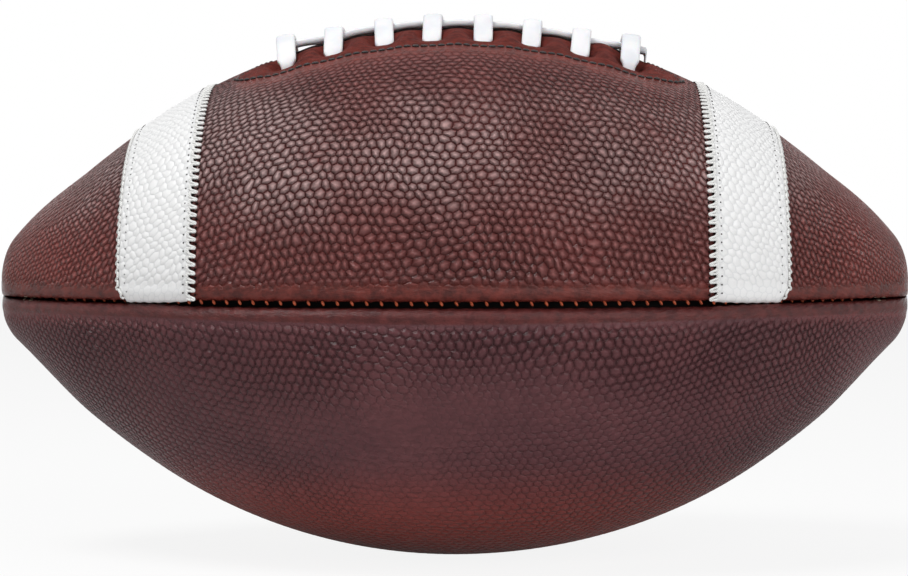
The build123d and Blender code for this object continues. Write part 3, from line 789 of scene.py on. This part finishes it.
leaning = n.geo("RotateInstances", sockets)
endShare = n.math("ABSOLUTE", n.math("DIVIDE", fromMiddle, middleOrder))
isRight = n.math("GREATER_THAN", fromMiddle, 0.0)
endRise = n.add("ShaderNodeMix", {0: isRight, 2: given["Left Rise"], 3: given["Right Rise"]})[0]
rise = n.combine(Z=n.times(n.math("POWER", endShare, endPower), endRise))
sockets = {"Instances": leaning, "Translation": rise, "Local Space": True}
rungTree = closeTree(n, n.geo("TranslateInstances", sockets), given)
print("trees ready")

# Leather panels and the linings behind them
lining = Settings(depth=2.05 * mm, thickness=1.0 * mm, rows=170, across=70, endPlace=136 * mm)
panelRows = np.linspace(arcLength[0], arcLength[-1], panel.rows)
liningRows = np.linspace(lengthAt(-lining.endPlace), lengthAt(lining.endPlace), lining.rows)
for number, name in enumerate(quarterNames):
    points, _, edgeA, edgeB, outerCount = shellLoops(number, panelRows, 0.0, panel.thickness, panel.across)
    grain, laced = grainMask(number, panelRows, edgeA, edgeB, outerCount)
    flat = flatMap(number, panelRows, edgeA)
    skin = gridObject(f"{name}_leather", points, grain=grain, laced=laced, pebbleMap=flat)
    brownLeather = upperLeather if number in (0, 3) else lowerLeather
    uneven = leathers[brownLeather.name].uneven
    sizes = {"Height": panel.pebbleHeight, "Uneven": uneven, "Laced Material": lacedLeather}
    settle(grow(skin, grainTree, brownLeather, **sizes), "pebbled_leather", f"{name}_panel")
    points = shellLoops(number, liningRows, lining.depth, lining.thickness, lining.across)[0]
    settle(gridObject(f"{name}_lining_cloth", points, liningCloth), "lining_cloth", f"{name}_lining")
print("panels and linings ready")

# White stripes on the upper panels, sewn along both edges
stripe = Settings(
    innerPlace=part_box("front_right_stripe")[0].x + 1.6 * mm,  # the teeth reach on from here
    outerPlace=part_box("front_right_stripe")[1].x, thickness=0.9 * mm, edgeRound=0.8 * mm,
    edgeFall=0.97,
    crowding=0.076,  # rows crowd towards both edges
    overlap=0.1 * mm, rows=64, across=170, under=60, tuck=1.6 * mm,
    cornerCut=3.0 * mm, cornerReach=5.0 * mm, stitchPitch=2.55 * mm,
    threadRadius=0.37 * mm, innerTooth=1.75 * mm, outerTooth=0.8 * mm,
    toothInset=0.5 * mm, toothFoot=0.58 * mm, toothTip=0.22 * mm, toothSlant=0.6 * mm,
    toothHeight=0.18 * mm, toothCorner=0.22 * mm, seamMargin=2.0 * mm,
    pebbleHeight=0.12 * mm,
    # needle holes: distance in from the edge, relative size, height over the ball's face

    innerHoles=((-0.15 * mm, 1.0, 0.35 * mm), (-1.9 * mm, 0.9, 0.0 * mm), (1.9 * mm, 0.6, 0.80 * mm)),
    outerHoles=((-0.1 * mm, 0.8, 0.35 * mm), (3.2 * mm, 0.45, 0.82 * mm)),
    holeRadius=0.42 * mm,
)
stripeInner = lengthAt(stripe.innerPlace)
stripeOuter = lengthAt(stripe.outerPlace)


def stripeSkin(name, number, side):
    rows = np.linspace(0, 1, stripe.rows)
    rows = rows - stripe.crowding * np.sin(2 * pi * rows)
    lengths = side * (stripeInner + rows * (stripeOuter - stripeInner))
    fromEdge = np.minimum(rows, 1 - rows) * (stripeOuter - stripeInner)
    fall = stripe.edgeFall * np.clip(1 - fromEdge / stripe.edgeRound, 0, 1) ** 2
    lift = stripe.thickness * np.sqrt(1 - fall)
    place, reach, normalAlong, normalOut = profileAt(lengths)
    insetA, insetB = seamInsets(number, place, lengths)
    half, fold, tuck = stripe.thickness / 2, panel.fold, stripe.tuck
    outer = quarterSection(reach + lift, insetA - half, insetB - half, stripe.across, fold + lift, tuck)
    inner = quarterSection(reach - stripe.overlap, insetA, insetB, stripe.under, fold, tuck)[:, ::-1]
    points, turn, edgeA, edgeB = placeSection(number, np.concatenate([outer, inner], 1), lengths)
    toSeam = edgeA if number == 3 else edgeB
    cut = -cornerCut(toSeam) * (rows**2)[:, None]
    along = np.broadcast_to(normalOut[:, None], turn.shape)
    tangent = np.stack([along, -normalAlong[:, None] * np.sin(turn), -normalAlong[:, None] * np.cos(turn)], -1)
    points = points + (side * cut)[..., None] * tangent
    grain = smooth(panel.smoothSeam, panel.fullGrain, np.minimum(edgeA, edgeB))
    grain = grain * (fromEdge > stripe.edgeRound)[:, None]
    grain[:, outer.shape[1]:] = 0
    flat = flatMap(number, lengths, edgeA)
    skin = gridObject(f"{name}_stripe_leather", points, grain=grain, pebbleMap=flat)
    return grow(skin, grainTree, stripeLeather, Height=stripe.pebbleHeight)


def stripeLine(number, lengths, turn, height):
    # points over an upper panel, turn measured from the top down to the front or rear
    return onBall(lengths, turn if number == 0 else -turn, height)


def stripeStations(length):
    # turn of each stitch along an edge, counted up from the front or rear seam
    reach = profileAt(np.array([length]))[1][0]
    along = np.arange(stripe.seamMargin, reach * seamTurn(reach) - stripe.seamMargin, stripe.stitchPitch)
    return seamTurn(reach) - along / reach, reach


def cornerCut(toSeam):
    # the outer edge slants in where it meets the front or rear seam
    return stripe.cornerCut * (1 - smooth(0, stripe.cornerReach, toSeam))


def stripeThread(name, number, side):
    # one tooth after another over each edge of the stripe
    paths = []
    for edge, into, tooth in ((stripeInner, 1, stripe.innerTooth), (stripeOuter, -1, stripe.outerTooth)):
        turns, reach = stripeStations(edge)
        foot, tip = stripe.toothFoot / reach, stripe.toothTip / reach
        slant = stripe.toothSlant / reach * tooth / stripe.innerTooth
        turn = (turns[:, None] + np.array([foot, slant + tip, slant - tip, -foot])).reshape(-1)
        onLeather = np.tile([False, True, True, False], len(turns))
        shift = np.where(onLeather, -tooth, stripe.toothInset) * into
        if into < 0:
            shift = shift - cornerCut((seamTurn(reach) - turn) * reach)
        height = np.where(onLeather, stripe.toothHeight, stripe.thickness)
        paths.append(stripeLine(number, side * (edge + shift), turn, height))
    host = pathObject(f"{name}_stripe_zigzag", paths)
    return grow(host, threadTree, whiteThread, Radius=stripe.threadRadius, Corner=stripe.toothCorner)


# painted shade: dark beads stand in for the shade inside the stripes' needle holes
def stripeNeedleHoles(name, number, side):
    paths, sizes = [], []
    for edge, into, holes in ((stripeInner, 1, stripe.innerHoles), (stripeOuter, -1, stripe.outerHoles)):
        turns, reach = stripeStations(edge)
        turns = turns - 0.5 * stripe.stitchPitch / reach
        cut = cornerCut((seamTurn(reach) - turns) * reach) if into < 0 else 0
        for distance, size, height in holes:
            slant = stripe.toothSlant / reach if distance < -1 * mm else 0
            lengths = side * (edge + into * distance - cut + 0 * turns)
            paths.append(stripeLine(number, lengths, turns + slant, height))
            sizes.append(size)
    return grow(pathObject(f"{name}_needle_holes", paths, sizes), holeTree, needleDark, Radius=stripe.holeRadius)


for endName, number in (("front", 3), ("rear", 0)):
    for sideName, side in (("left", -1), ("right", 1)):
        name = f"{endName}_{sideName}"
        settle(stripeSkin(name, number, side), "white_leather", f"{name}_stripe")
        settle(stripeThread(name, number, side), "white_thread", f"{name}_stripe_thread")
        settle(stripeNeedleHoles(name, number, side), "black_thread")
print("stripes ready")


# Facings under the laced edges, and their stitch lines
def besideLacing(number, place, plan, height):
    # points on the drawn-down leather at a distance in plan from the top seam
    lengths = lengthAt(place)
    _, reach, _, _ = profileAt(lengths)
    turn = np.arcsin(np.clip(plan / reach, 0, 1))
    sink = lacingSink(place, turn * reach)
    return onBall(lengths, turn if number == 0 else -turn, height - sink)


def facingSkin(name, number):
    places = facing.middle + np.linspace(-facing.cornerReach, facing.cornerReach, 120)
    near = panel.seamInset + facing.depth + lacingOpen(places) / 2
    far = facingAcross(places) + facing.reachPast
    plan = near[:, None] + np.linspace(0, 1, 40)[None, :] * (far - near)[:, None]
    along = np.broadcast_to(places[:, None], plan.shape)
    top = besideLacing(number, along, plan, -facing.depth)
    under = besideLacing(number, along, plan, -facing.depth - facing.thickness)
    return gridObject(f"{name}_facing_cloth", np.concatenate([top, under[:, ::-1]], 1), facingCloth)


def facingStitches(name, number):
    places = facing.middle + np.linspace(-facing.cornerReach, facing.cornerReach, 160)
    slant = np.linspace(0, 1, 12)[:-1]
    slantPlace = facing.seamReach + slant * (facing.cornerReach - facing.seamReach)
    slantPlan = facing.seamAcross + slant * (facingAcross(places[0]) - facing.seamAcross)
    paths = [besideLacing(number, places, facingAcross(places), facing.threadHeight)]
    for side in (-1, 1):
        paths.append(besideLacing(number, facing.middle + side * slantPlace, slantPlan, facing.slantHeight))
    host = pathObject(f"{name}_facing_stitches", paths, [1.0, facing.slantSize, facing.slantSize])
    sizes = {"Pitch": facing.stitchPitch, "Length": facing.stitchLength, "Radius": facing.threadRadius}
    return grow(host, stitchTree, blackThread, **sizes)


for name, number in (("front", 3), ("rear", 0)):
    settle(facingSkin(name, number), "facing_cloth", f"{name}_lace_facing")
    settle(facingStitches(name, number), "black_thread", f"{name}_facing_thread")
print("facings ready")

# Tongue under the lace, and the bladder, which gives way to the seams, the facings and the tongue
tongue = Settings(
    halfLength=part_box("tongue")[1].x, halfWidth=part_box("tongue")[1].y,
    depth=2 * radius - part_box("tongue")[1].z, thickness=1.5 * mm, corner=12.0 * mm,
)
bladder = Settings(
    endPlace=132 * mm, depth=3.4 * mm, seamDip=5.0 * mm, seamWidth=5.0 * mm,
    bedDepth=tongue.depth + tongue.thickness + 0.4 * mm, bedAcross=(28 * mm, 44 * mm),
    bedAlong=(74 * mm, 84 * mm),
)


def tongueSheet():
    places = tongue.halfLength * np.sin(np.linspace(-pi / 2, pi / 2, 70))
    past = np.clip(np.abs(places) - tongue.halfLength + tongue.corner, 0, 0.999 * tongue.corner)
    width = tongue.halfWidth - tongue.corner + np.sqrt(tongue.corner ** 2 - past**2)
    plan = np.linspace(-1, 1, 25)[None, :] * width[:, None]
    lengths = lengthAt(np.broadcast_to(places[:, None], plan.shape))
    turn = np.arcsin(plan / profileAt(lengths)[1])
    top = onBall(lengths, turn, -tongue.depth)
    under = onBall(lengths, turn, -tongue.depth - tongue.thickness)
    return gridObject("tongue_suede", np.concatenate([top, under[:, ::-1]], 1), tongueSuede)


def bladderSkin():
    turn = np.broadcast_to(np.linspace(0, 2 * pi, 120, endpoint=False), (130, 120))
    ends = lengthAt(np.array([-bladder.endPlace, bladder.endPlace]))
    lengths = np.broadcast_to(np.linspace(*ends, 130)[:, None], turn.shape)
    place, reach, _, _ = profileAt(lengths)
    seam = seamTurn(reach)
    dip = np.zeros(turn.shape)
    for sewn in (0, seam, pi, 2 * pi - seam, 2 * pi):
        dip = np.maximum(dip, np.exp(-(((turn - sewn) * reach / bladder.seamWidth) ** 2)))
    depth = bladder.depth + bladder.seamDip * dip
    bed = 1 - smooth(*bladder.bedAcross, np.abs(np.sin(turn)) * reach)
    bed = bed * (1 - smooth(*bladder.bedAlong, np.abs(place)))
    depth = np.where(np.cos(turn) > 0, np.maximum(depth, bed * bladder.bedDepth), depth)
    return gridObject("bladder_skin", onBall(lengths, turn, -depth), bladderRubber)


settle(tongueSheet(), "tongue_leather", "tongue")
settle(bladderSkin(), "bladder_rubber", "bladder")
print("tongue and bladder ready")

# Seam stitching, deep in the grooves
seamThread = Settings(
    pitch=4.35 * mm, length=1.6 * mm, radius=0.42 * mm, depth=1.7 * mm,
    lipOffset=0.55 * mm,  # the stitches show against the upper lip
    endDepth=1.7 * mm,  # deeper still beyond the stripes' inner edges
    deepRange=(78 * mm, 92 * mm), endPlace=126 * mm, slant=-0.55,
)
seamEnd = seamThread.endPlace
lacedEnd = facing.endRange[0]
upAcross, sideAcross = (seamThread.slant, 0, 1), (seamThread.slant, 1, 0)


def lipTurn(reach):
    return seamTurn(reach) - seamThread.lipOffset / reach


for name, turnOf, first, last, across in (
    ("front", lambda reach: -lipTurn(reach), -seamEnd, seamEnd, upAcross),
    ("rear", lipTurn, -seamEnd, seamEnd, upAcross),
    ("bottom", lambda reach: pi + 0 * reach, -seamEnd, seamEnd, sideAcross),
    ("top_left", lambda reach: 0 * reach, -seamEnd, -lacedEnd, sideAcross),
    ("top_right", lambda reach: 0 * reach, lacedEnd, seamEnd, sideAcross),
):
    lengths = np.linspace(lengthAt(first), lengthAt(last), 400)
    along, reach, _, _ = profileAt(lengths)
    depth = seamThread.depth + seamThread.endDepth * smooth(*seamThread.deepRange, np.abs(along))
    host = pathObject(f"{name}_seam_stitches", [onBall(lengths, turnOf(reach), -depth)])
    sizes = {key.capitalize(): seamThread[key] for key in ("pitch", "length", "radius")}
    settle(grow(host, stitchTree, waxedThread, Across=across, **sizes), "waxed_thread", f"seam_thread_{name}")
print("seam stitching ready")

# Lace: one strand along the seam, rungs over it and runs inside
lace = Settings(
    strandWidth=5.6 * mm, strandHeight=2.4 * mm, strandCentre=1.65 * mm,
    strandSpring=0.25 * mm,
    strandOverhang=(6.2 * mm, 4.0 * mm),  # past the last rung on the right and the left
    strandDive=5.0 * mm,  # both ends go down into the seam
    diveRange=(0.968, 1.0),  # shares of its half length
    riseShare=0.8, riseRange=(0.72, 0.93), tipRange=(0.985, 1.0), width=6.1 * mm,
    thickness=2.2 * mm, endWidth=3.4 * mm, narrowRange=(13.6 * mm, 16.0 * mm),
    # half of one rung from its crest to its hole, across and up in mm

    route=(
        (0, 3.8), (2.8, 3.7), (5.2, 2.5), (8.5, -0.2), (11.5, -2.4), (13.8, -4.3), (15.2, -6.4), (15.5, -9.5),
    ),
    endRise=(2.9 * mm, 1.9 * mm),  # the last rungs on the right and the left cross the doubled ends
    upright=0.6,  # share of the turn round the arc that a rung's ends do not follow
    insideHeight=-8.1 * mm, squareness=0.62, lean=0.04,
)
lacingCentre = 2 * radius - ball.bellyRadius


def bandObject(name, centres, sideways, upward, halfWidth, halfHeight):
    # band with a rounded section swept along its centre line
    around = np.linspace(0, 2 * pi, 28, endpoint=False)
    acrossShape = np.sign(np.cos(around)) * np.abs(np.cos(around)) ** lace.squareness
    upShape = np.sign(np.sin(around)) * np.abs(np.sin(around)) ** lace.squareness
    loops = (
        centres[:, None, :]
        + sideways[:, None, :] * (halfWidth[:, None] * acrossShape)[..., None]
        + upward[:, None, :] * (halfHeight[:, None] * upShape)[..., None]
    )
    return gridObject(name, loops, laceFinish)


def smoothRoute(points, count):
    # even points on a smooth line through a few chosen ones
    points = np.array(points, dtype=float)
    ends = np.concatenate([[2 * points[0] - points[1]], points, [2 * points[-1] - points[-2]]])
    share = np.linspace(0, len(points) - 1, count)
    start = np.minimum(share.astype(int), len(points) - 2)
    t = (share - start)[:, None]
    p0, p1, p2, p3 = (ends[start + k] for k in range(4))
    square, cube = 2 * p0 - 5 * p1 + 4 * p2 - p3, 3 * p1 - p0 - 3 * p2 + p3
    return 0.5 * (2 * p1 + (p2 - p0) * t + square * t**2 + cube * t**3)


def unit(vectors):
    return vectors / np.linalg.norm(vectors, axis=1, keepdims=True)


def rungBand():
    half = [(y * mm, n * mm) for y, n in lace.route]
    route = smoothRoute([(-y, n) for y, n in half[:0:-1]] + half, 90)
    heading = unit(np.gradient(route, axis=0))
    zero = np.zeros(len(route))
    centres = np.stack([zero, route[:, 0], route[:, 1] + ball.bellyRadius], -1)
    upward = np.stack([zero, -heading[:, 1], heading[:, 0]], -1)
    sideways = np.broadcast_to([1.0, 0, 0], centres.shape)
    narrow = smooth(*lace.narrowRange, np.abs(route[:, 0]))
    width = lace.width + (lace.endWidth - lace.width) * narrow
    return bandObject("lace_rungs", centres, sideways, upward, width / 2, zero + lace.thickness / 2)


def strandBand():
    share = np.linspace(-1, 1, 240)
    end = rungAngles[-1] - middleTurn + np.where(share > 0, *lace.strandOverhang) / ball.bellyRadius
    angle = middleTurn + end * share
    dive = smooth(*lace.diveRange, np.abs(share)) * lace.strandDive
    spring = lace.strandSpring * np.cos(2 * pi * (angle - middleTurn) / rungStep)
    out = ball.bellyRadius + lace.strandCentre - dive + spring
    rise = lace.riseShare * np.where(share > 0, *lace.endRise)
    out = out + rise * smooth(*lace.riseRange, np.abs(share))
    zero = np.zeros(len(angle))
    centres = np.stack([out * np.sin(angle), zero, out * np.cos(angle) + lacingCentre], -1)
    upward = np.stack([np.sin(angle), zero, np.cos(angle)], -1)
    sideways = np.broadcast_to([0.0, 1, 0], centres.shape)
    tip = np.sqrt(np.clip(1 - smooth(*lace.tipRange, np.abs(share)), 0.05, 1)) / 2
    width, height = tip * lace.strandWidth, tip * lace.strandHeight
    return bandObject("lace_strand", centres, sideways, upward, width, height)


def insideRun(order):
    # from the front hole of one rung to the rear hole of the next, under the leather
    share = np.linspace(0, 1, 24)
    angle = rungAngles[order] + share * rungStep
    out = ball.bellyRadius + lace.insideHeight
    across = (2 * share - 1) * lacing.holeOffset
    up = out * np.cos(angle) + lacingCentre - 0.5 * across**2 / radius
    centres = np.stack([out * np.sin(angle), across, up], -1)
    upward = unit(np.stack([np.sin(angle), across / radius, np.cos(angle)], -1))
    sideways = unit(np.cross(unit(np.gradient(centres, axis=0)), upward))
    half = np.ones(len(share)) / 2
    name = f"lace_run_{order + 1}"
    return bandObject(name, centres, sideways, upward, half * lace.endWidth, half * lace.thickness)


sizes = {
    "Count": lacing.rungs, "Step": rungStep, "Middle": middleTurn, "Centre": (0, 0, lacingCentre),
    "Lean": lace.lean, "Right Rise": lace.endRise[0], "Left Rise": lace.endRise[1], "Seed": 4,
    "Upright": lace.upright, "Crest": (0, 0, ball.bellyRadius),
}
settle(grow(rungBand(), rungTree, laceFinish, **sizes), "white_lace", "lace")
for part in [strandBand()] + [insideRun(order) for order in range(lacing.rungs - 1)]:
    settle(part, "white_lace")
print("lace ready")

# Floor, light and camera
studio = Settings(
    floorSize=6.0,
    floorGlow=0.88,  # share of white in the floor as the camera sees it
    floorMirrored=0.12,
    key=Settings(place=(-0.45, -0.32, 1.12), size=(0.45, 0.45), power=8.9),
    fill=Settings(place=(0.80, -0.95, 0.62), size=(1.0, 1.0), power=8.2),
    top=Settings(place=(0.1, -0.02, 1.15), size=(1.0, 0.30), power=0.6),
    world=0.17,
)
cameraView = Settings(
    distance=0.850, azimuth=radians(0.9), elevation=radians(1.5), lens=104.5,
    shiftY=0.0036,
)


def paleFloor():
    material, n, _ = newMaterial("paleFloor", Base_Color=(0.9, 0.9, 0.9, 1), Roughness=0.9)
    rays = n.add("ShaderNodeLightPath")
    seen = n.times(rays["Is Camera Ray"], studio.floorGlow)
    share = n.math("MAXIMUM", seen, n.times(rays["Is Glossy Ray"], studio.floorMirrored))
    glow = n.add("ShaderNodeEmission", {"Color": (1, 1, 1, 1), "Strength": 1.0})[0]
    both = {0: share, 1: n.tree.nodes["Principled BSDF"].outputs[0], 2: glow}
    mixed = n.add("ShaderNodeMixShader", both)[0]
    n.tree.links.new(mixed, n.tree.nodes["Material Output"].inputs["Surface"])
    return material


half = studio.floorSize / 2
floorMesh = bpy.data.meshes.new("floor")
floorMesh.from_pydata([(-half, -half, 0), (half, -half, 0), (half, half, 0), (-half, half, 0)], [], [(0, 1, 2, 3)])
floor = addObject("floor", floorMesh)
floor.data.materials.append(paleFloor())


def aim(obj, place):
    obj.location = place
    obj.rotation_euler = (centre - obj.location).to_track_quat("-Z", "Y").to_euler()


for lampName in ("key", "fill", "top"):
    lampSet = studio[lampName]
    lampData = bpy.data.lights.new(lampName, "AREA")
    lampData.shape = "RECTANGLE"
    lampData.size, lampData.size_y = lampSet.size
    lampData.energy = lampSet.power
    aim(addObject(lampName, lampData), lampSet.place)

world = bpy.data.worlds.new("paleStudio")
bpy.context.scene.world = world
world.use_nodes = True
n = Nodes(world.node_tree)
rays = n.add("ShaderNodeLightPath")
mirrored = n.math("MAXIMUM", rays["Is Glossy Ray"], rays["Is Transmission Ray"])
seen = n.math("MAXIMUM", rays["Is Camera Ray"], mirrored)
strength = n.add("ShaderNodeMapRange", {"Value": seen, "To Min": studio.world, "To Max": 1.0})[0]
backdrop = n.tree.nodes["Background"].inputs
n.tree.links.new(strength, backdrop["Strength"])
backdrop["Color"].default_value = (1, 1, 1, 1)
bpy.context.scene.view_settings.view_transform = "Standard"

cameraData = bpy.data.cameras.new("camera")
cameraData.lens = cameraView.lens
cameraData.shift_y = cameraView.shiftY
camera = addObject("camera", cameraData)
azimuth, elevation = cameraView.azimuth, cameraView.elevation
away = Vector((sin(azimuth) * cos(elevation), -cos(azimuth) * cos(elevation), sin(elevation)))
aim(camera, centre + away * cameraView.distance)
bpy.context.scene.camera = camera
print("studio ready")
